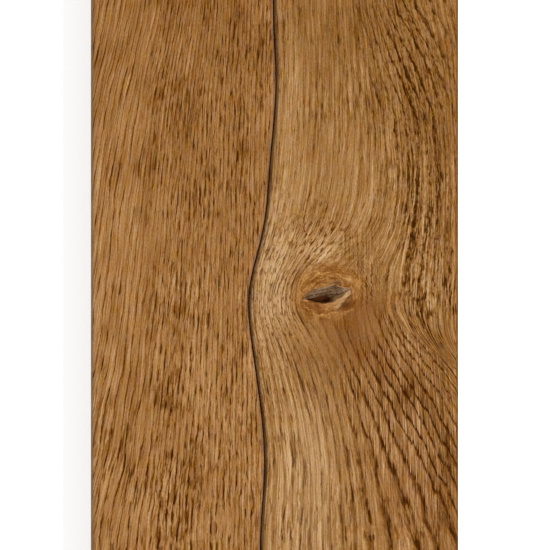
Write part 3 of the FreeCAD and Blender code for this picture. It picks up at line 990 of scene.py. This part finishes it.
above = figure_of(tree, upper, upper, y, z, spacing=3.3,
                  line_gain=add_up(tree, -0.09, (crisp, -0.16)),
                  pore_gain=add_up(tree, -0.16, (crisp, -0.4)), row_gain=-0.12,
                  fibre_gain=add_up(tree, 0.9, (crisp, 0.6)), width=0.8, length=9.0)
below_kink = figure_of(tree, lower, lower, y, z, spacing=4.4, pore_gain=-0.3, row_gain=-0.26,
                       fibre_gain=1.22, width=0.85, length=11.0)
fan_rings = add_up(tree, lower, (scaled_noise(tree, x, y, 0.1, 0.025, 6.0, detail=3), 5.0))
fanned = figure_of(tree, add_up(tree, 0.0, (x, 0.85), (lower, 0.15)), fan_rings, y, z,
                   spacing=4.5, line_width=0.18, softness=0.12, line_gain=-0.74, pore_gain=-0.34,
                   row_gain=-0.6, fibre_gain=2.5, width=0.72, length=11.0, fray=4.2)
curly = add_up(tree, x, (curling, 0.9))
curled = figure_of(tree, curly, curly, y, z, spacing=2.6, line_width=0.1, softness=0.25,
                   line_gain=-0.45, pore_gain=-0.12, row_gain=-0.1, fibre_gain=1.7, length=7.0)
figure = blend_of(tree, kink, above, blend_of(tree, fan, below_kink, fanned))
curl_patch = mask_of(tree, x, y, (56, -1, 9, 20, 0), (50, 18, 12, 8, 0))
figure = blend_of(tree, curl_patch, figure, curled)
smooth = mask_of(tree, x, y, (35, -42, 26, 22, 0), (50, -32, 17, 17, 0))
figure = times(tree, figure, add_up(tree, 1.0, (smooth, -0.74)))
print("right strip's figure:", len(tree.nodes), "nodes")

# %% [markdown]
# Bold dark rows run down the upper right. They are rings of their own, twice as wide apart, and
# each is broken into a ragged chain. Towards the head they lean more than the fibres do. Short
# dark ticks, pores cut open lengthwise, lie among them and in the pale wood beside the seam.

# %% The bold rows
bold = mask_of(tree, x, y, (82, 125, 25, 75, 0.1), (88, 25, 17, 60, 0))
leaning = add_up(tree, upper, (calc(tree, "MAXIMUM", add_up(tree, -95.0, (y, 1.0)), 0.0), 0.28))
short = scaled_noise(tree, upper, y, 0.75, 0.24, 30.0)
rows = use_group(tree, rings, across=add_up(tree, leaning, (short, 2.6)), along=y, spacing=6.8,
                 wander=7.0, jitter=4.2, width=0.22, softness=0.12)
gaps = scaled_noise(tree, x, y, 0.35, 0.11, 9.0, detail=3)
bold_row = times(tree, rows["Early"], bold, step_of(tree, gaps, -0.2, -0.04),
                 add_up(tree, 0.95, (short, 2.4)))
bold_row = blend_of(tree, kink, bold_row, 0.0)
near_seam = mask_of(tree, x, y, (0, -10, 17, 48, 0), (24, 22, 22, 18, 0))
ticked = calc(tree, "MAXIMUM", near_seam, times(tree, bold, 0.5))
ticks = times(tree, ticked, step_of(tree, short, 0.03, 0.12))
clouds = scaled_noise(tree, upper, y, 0.07, 0.018, 4.0, detail=3)
specks = scaled_noise(tree, x, y, 1.1, 0.7, 25.0)
tone = add_up(tree, RIGHT_TONE, (figure, 1.22), (bold_row, -0.55), (clouds, 0.3),
              (specks, 0.32), (ticks, -0.56))
tone = add_patches(tree, tone, x, y, RIGHT_PATCHES)
print("with the bold rows:", len(tree.nodes), "nodes")

# %% [markdown]
# The collar round the knot is wood that grew round the branch. Its arcs follow the knot's
# outline, warped into swirls, and its colour is more orange. Elsewhere the hue wanders a little,
# redder below the knot and creamier beside the seam.

# %% The collar
COLLAR_HALF_LENGTH = 19.0
COLLAR_HALF_WIDTH = 15.0
turned_x = add_up(tree, -KNOT_X * math.cos(KNOT_LEAN) - KNOT_Y * math.sin(KNOT_LEAN),
                  (x, math.cos(KNOT_LEAN)), (y, math.sin(KNOT_LEAN)))
turned_y = add_up(tree, KNOT_X * math.sin(KNOT_LEAN) - KNOT_Y * math.cos(KNOT_LEAN),
                  (x, -math.sin(KNOT_LEAN)), (y, math.cos(KNOT_LEAN)))
long_share = calc(tree, "DIVIDE", turned_x, COLLAR_HALF_LENGTH)
wide_share = calc(tree, "DIVIDE", turned_y, COLLAR_HALF_WIDTH)
from_knot = calc(tree, "SQRT", add_up(tree, 0.0001, (long_share, long_share),
                                      (wide_share, wide_share)))
swirl = scaled_noise(tree, x, y, 0.2, 0.24, 12.0, detail=3)
warped = add_up(tree, from_knot, (swirl, 0.42))
around = calc(tree, "DIVIDE", long_share, from_knot)
arcs = scaled_noise(tree, warped, around, 10.0, 1.8,
                    times(tree, calc(tree, "DIVIDE", wide_share, from_knot), 1.8),
                    detail=4, roughness=0.65)
flecks = scaled_noise(tree, x, y, 0.9, 1.2, 20.0, detail=3)
collar = step_of(tree, warped, 1.35, 0.85)
collar_tone = add_up(tree, 0.56, (arcs, 1.7), (flecks, 0.5), (figure, 0.4))
tone = blend_of(tree, collar, tone, collar_tone)
reddish = mask_of(tree, x, y, (58, -45, 30, 36, 0.7), (85, -125, 30, 50, 0.3))
colour = vary_hue(tree, ramp_of(tree, tone, OAK_TONES), x, y,
                  add_up(tree, 0.5012, (reddish, -0.005)), 1.008)
colour = tint(tree, times(tree, collar, 0.6), colour, ramp_of(tree, tone, (
    (0.0, linear(70, 28, 0)), (0.5, linear(150, 90, 30)), (1.0, linear(226, 170, 100)))))
creamy = mask_of(tree, x, y, (-2, -3, 11, 46, 0), (22, -124, 15, 62, 0))
colour = tint(tree, times(tree, creamy, 0.15), colour, linear(200, 166, 122))
print("with the collar:", len(tree.nodes), "nodes")

# %% [markdown]
# Stains lie round the hollow: reddish heartwood below it, a dark spot at the ledge's tip, and a
# pale lip at its left. A brown tint along the ledge's lower edge is painted shade of a small step.

# %% Stains round the hollow
STAINS = (
    ((22.4, -19.0, 4.8, 2.3, 0), 0.7, linear(128, 72, 32)),
    ((43.4, -18.2, 3.2, 1.9, -0.5), 0.85, linear(92, 46, 16)),
    ((36.6, -4.6, 5.0, 2.0, 0), 0.6, linear(104, 76, 50)),
    ((19.4, -15.3, 3.0, 0.5, 0.1), 0.65, linear(214, 164, 118)),
    ((53.0, -22.0, 9.0, 9.0, -0.4), 0.4, linear(134, 78, 38)),
)
for place, share, stain in STAINS:
    colour = tint(tree, times(tree, patch_of(tree, x, y, *place), share), colour, stain)
edge_side = add_up(tree, LEDGE_RIGHT, (turned_x, -LEDGE_ALONG), (turned_y, LEDGE_ACROSS))
foot_side = add_up(tree, LEDGE_LEFT, (turned_x, LEDGE_ALONG), (turned_y, LEDGE_ACROSS))
ledge_end = times(tree, step_of(tree, foot_side, -1.0, 2.0), step_of(tree, turned_x, 15.5, 13.5))
# Painted shade: the small step along the ledge's lower edge is tinted brown.
ledge_step_shade = times(tree, step_of(tree, edge_side, -2.2, -0.3), step_of(tree, edge_side, 0.6, 0.0),
                   ledge_end, 0.5)
colour = tint(tree, ledge_step_shade, colour, linear(100, 58, 26))
print("with", len(STAINS), "stains:", len(tree.nodes), "nodes")

# %% [markdown]
# The hollow itself has a smooth tan ledge, a slot and a weathered grey wall on the head side. The
# three were marked on the mesh when the hollow was sunk, and fine fibres run along them all. The
# slot and the deeper left part are tinted dark brown as painted shade.

# %% Inside the hollow
wall_fibres = scaled_noise(tree, turned_x, turned_y, 0.13, 1.0, times(tree, z, 0.3))
ledge_colour = ramp_of(tree, add_up(tree, 0.45, (wall_fibres, 1.1), (turned_x, 0.03)), (
    (0.0, linear(136, 86, 42)), (0.5, linear(184, 136, 86)), (1.0, linear(218, 180, 130))))
colour = tint(tree, times(tree, hollow["Z"], 0.9), colour, ledge_colour)
# Painted shade: the hollow's left part turns brown as it deepens.
slot_side_shade = times(tree, step_of(tree, hollow["X"], 0.8, 2.6), step_of(tree, turned_x, 4.5, -0.5))
colour = tint(tree, times(tree, slot_side_shade, 0.8), colour, linear(112, 62, 30))
wall_colour = ramp_of(tree, add_up(tree, 0.5, (wall_fibres, 2.2), (turned_x, 0.008)), (
    (0.0, linear(80, 54, 32)), (0.5, linear(128, 98, 70)), (1.0, linear(168, 136, 104))))
in_hollow = step_of(tree, hollow["X"], 0.05, 0.5)
colour = tint(tree, times(tree, in_hollow, hollow["Y"]), colour, wall_colour)
# Painted shade: the slot, the deepest part below the wall, is tinted dark.
slot_shade_rim = add_up(tree, 0.0, (turned_y, 1.0), (wall_fibres, 1.5))
slot_shade_depth = times(tree, step_of(tree, hollow["X"], 1.8, 3.8), step_of(tree, turned_x, 3.0, -0.5))
slot_shade = times(tree, step_of(tree, slot_shade_rim, -0.3, -1.3), slot_shade_depth)
colour = tint(tree, slot_shade, colour, linear(74, 38, 14))
tone = blend_of(tree, in_hollow, tone, 0.3)
print("with the hollow:", len(tree.nodes), "nodes")

# %% [markdown]
# The right strip's bevels are tinted darker as painted shade: the seam's bevel more and more
# towards the gap, and the outer bevel dark brown along the plank's edge.

# %% The right strip's edges
below = add_up(tree, float(THICKNESS), (z, -1.0))
bevel = step_of(tree, below, 0.03, 0.3)
# Painted shade: the seam's bevel darkens deeper into the gap.
seam_shade = times(tree, sides["X"], step_of(tree, below, 0.2, 1.8), 0.8)
colour = tint(tree, seam_shade, colour, linear(48, 22, 2))
# Painted shade: the outer bevel, though it faces the key light, is tinted dark brown.
colour = tint(tree, times(tree, sides["Y"], bevel, 0.55), colour, linear(70, 44, 18))
raw, colour = leave_raw(tree, tone, colour, y, below, hollow["X"])
finish_oak(tree, shader, tone, colour, raw, blend_of(tree, kink, grain["X"], grain["Y"]), y, z)
print(right_finish.name, len(tree.nodes), "nodes")

# %% [markdown]
# ## Hand the pieces to the frame
# Each strip rides on the plank's only body and stands for its CAD node.

# %% Ride and replace
for piece, node, finish in (
    (left_oak, "left_strip", left_finish), (right_oak, "right_strip", right_finish),
):
    piece.data.materials.clear()
    piece.data.materials.append(finish)
    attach(piece, "root")
    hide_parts(node)
    print(piece.name, "stands for", node, "in", finish.name)

# %% [markdown]
# ## Floor, light and camera
# The photograph looks straight down on a plank on white. The floor is white only to the camera
# and to glossy rays, so that no extra light reaches the wood, and it keeps the plank's shadow.
# It lets light through to the plank's back, so that the back can be looked at from below.

# %% White floor
FLOOR_SIZE = 12
FLOOR_DROP = 0.3
FLOOR_GREY = 0.85
FLOOR_GLOW = 0.62
deselect_everything()
bpy.ops.mesh.primitive_plane_add(size=FLOOR_SIZE, location=(0, 0, -FLOOR_DROP * MM))
floor = bpy.context.object
floor.name = "floor"
white = bpy.data.materials.new("white_floor")
white.use_nodes = True
tree = white.node_tree
shader = tree.nodes["Principled BSDF"]
shader.inputs["Base Color"].default_value = (FLOOR_GREY, FLOOR_GREY, FLOOR_GREY, 1)
shader.inputs["Roughness"].default_value = 1
shader.inputs["Specular IOR Level"].default_value = 0
shader.inputs["Emission Color"].default_value = (1, 1, 1, 1)
paths = tree.nodes.new("ShaderNodeLightPath").outputs
seen = calc(tree, "MAXIMUM", paths["Is Camera Ray"], paths["Is Glossy Ray"])
feed(tree, shader.inputs["Emission Strength"], times(tree, seen, FLOOR_GLOW))
seen_below = tree.nodes.new("ShaderNodeNewGeometry").outputs["Backfacing"]
lights_back = calc(tree, "MAXIMUM", paths["Is Diffuse Ray"], paths["Is Shadow Ray"])
clear = calc(tree, "MAXIMUM", seen_below, lights_back)
feed(tree, shader.inputs["Alpha"], calc(tree, "SUBTRACT", 1.0, clear))
floor.data.materials.append(white)
print(floor.name, "is", round(floor.dimensions.x, 3), "m wide")

# %% [markdown]
# The world stands for the white room of a product photograph, whose even light fills the
# shadows. It is white to the camera, so that the background is white from every side, and
# dimmer to the wood, so that the key light still models the bevels.

# %% White room
ROOM_LIGHT = 0.45
world = bpy.data.worlds.new("studio")
world.use_nodes = True
tree = world.node_tree
background = tree.nodes["Background"].inputs
background["Color"].default_value = (1, 1, 1, 1)
in_view = tree.nodes.new("ShaderNodeLightPath").outputs["Is Camera Ray"]
feed(tree, background["Strength"], add_up(tree, ROOM_LIGHT, (in_view, 1.0 - ROOM_LIGHT)))
bpy.context.scene.world = world
print(world.name, len(tree.nodes), "nodes")

# %% [markdown]
# The seam's left bevel is bright and its right one dark, so the light comes from the right. A
# sun lamp lights the plank evenly along its length, which a lamp close by wouldn't, and a wide
# sun has soft shadows.

# %% Key light from the right
KEY_FROM_FOOT = 6
KEY_FROM_RIGHT = 50
KEY_STRENGTH = 2.7
KEY_SOFTNESS = 10
deselect_everything()
bpy.ops.object.light_add(
    type="SUN", rotation=(math.radians(KEY_FROM_FOOT), math.radians(KEY_FROM_RIGHT), 0))
key = bpy.context.object
key.data.energy = KEY_STRENGTH
key.data.angle = math.radians(KEY_SOFTNESS)
print(key.name, "with strength", round(key.data.energy, 2))

# %% [markdown]
# The photograph looks straight down, and the plank runs past its upper and lower edges. A long
# lens keeps the bevels on both sides alike, and the camera's height gives the face its width in
# the picture.

# %% Camera straight above
CAMERA_X = 0.00027
CAMERA_HEIGHT = 0.9333
LENS = 100
SENSOR_WIDTH = 36
deselect_everything()
bpy.ops.object.camera_add(location=(CAMERA_X, 0, CAMERA_HEIGHT), rotation=(0, 0, 0))
camera = bpy.context.object
camera.data.lens = LENS
camera.data.sensor_width = SENSOR_WIDTH
bpy.context.scene.camera = camera
bpy.context.scene.view_settings.view_transform = "Standard"
print(camera.name, "sees", round(math.degrees(camera.data.angle), 2), "degrees")
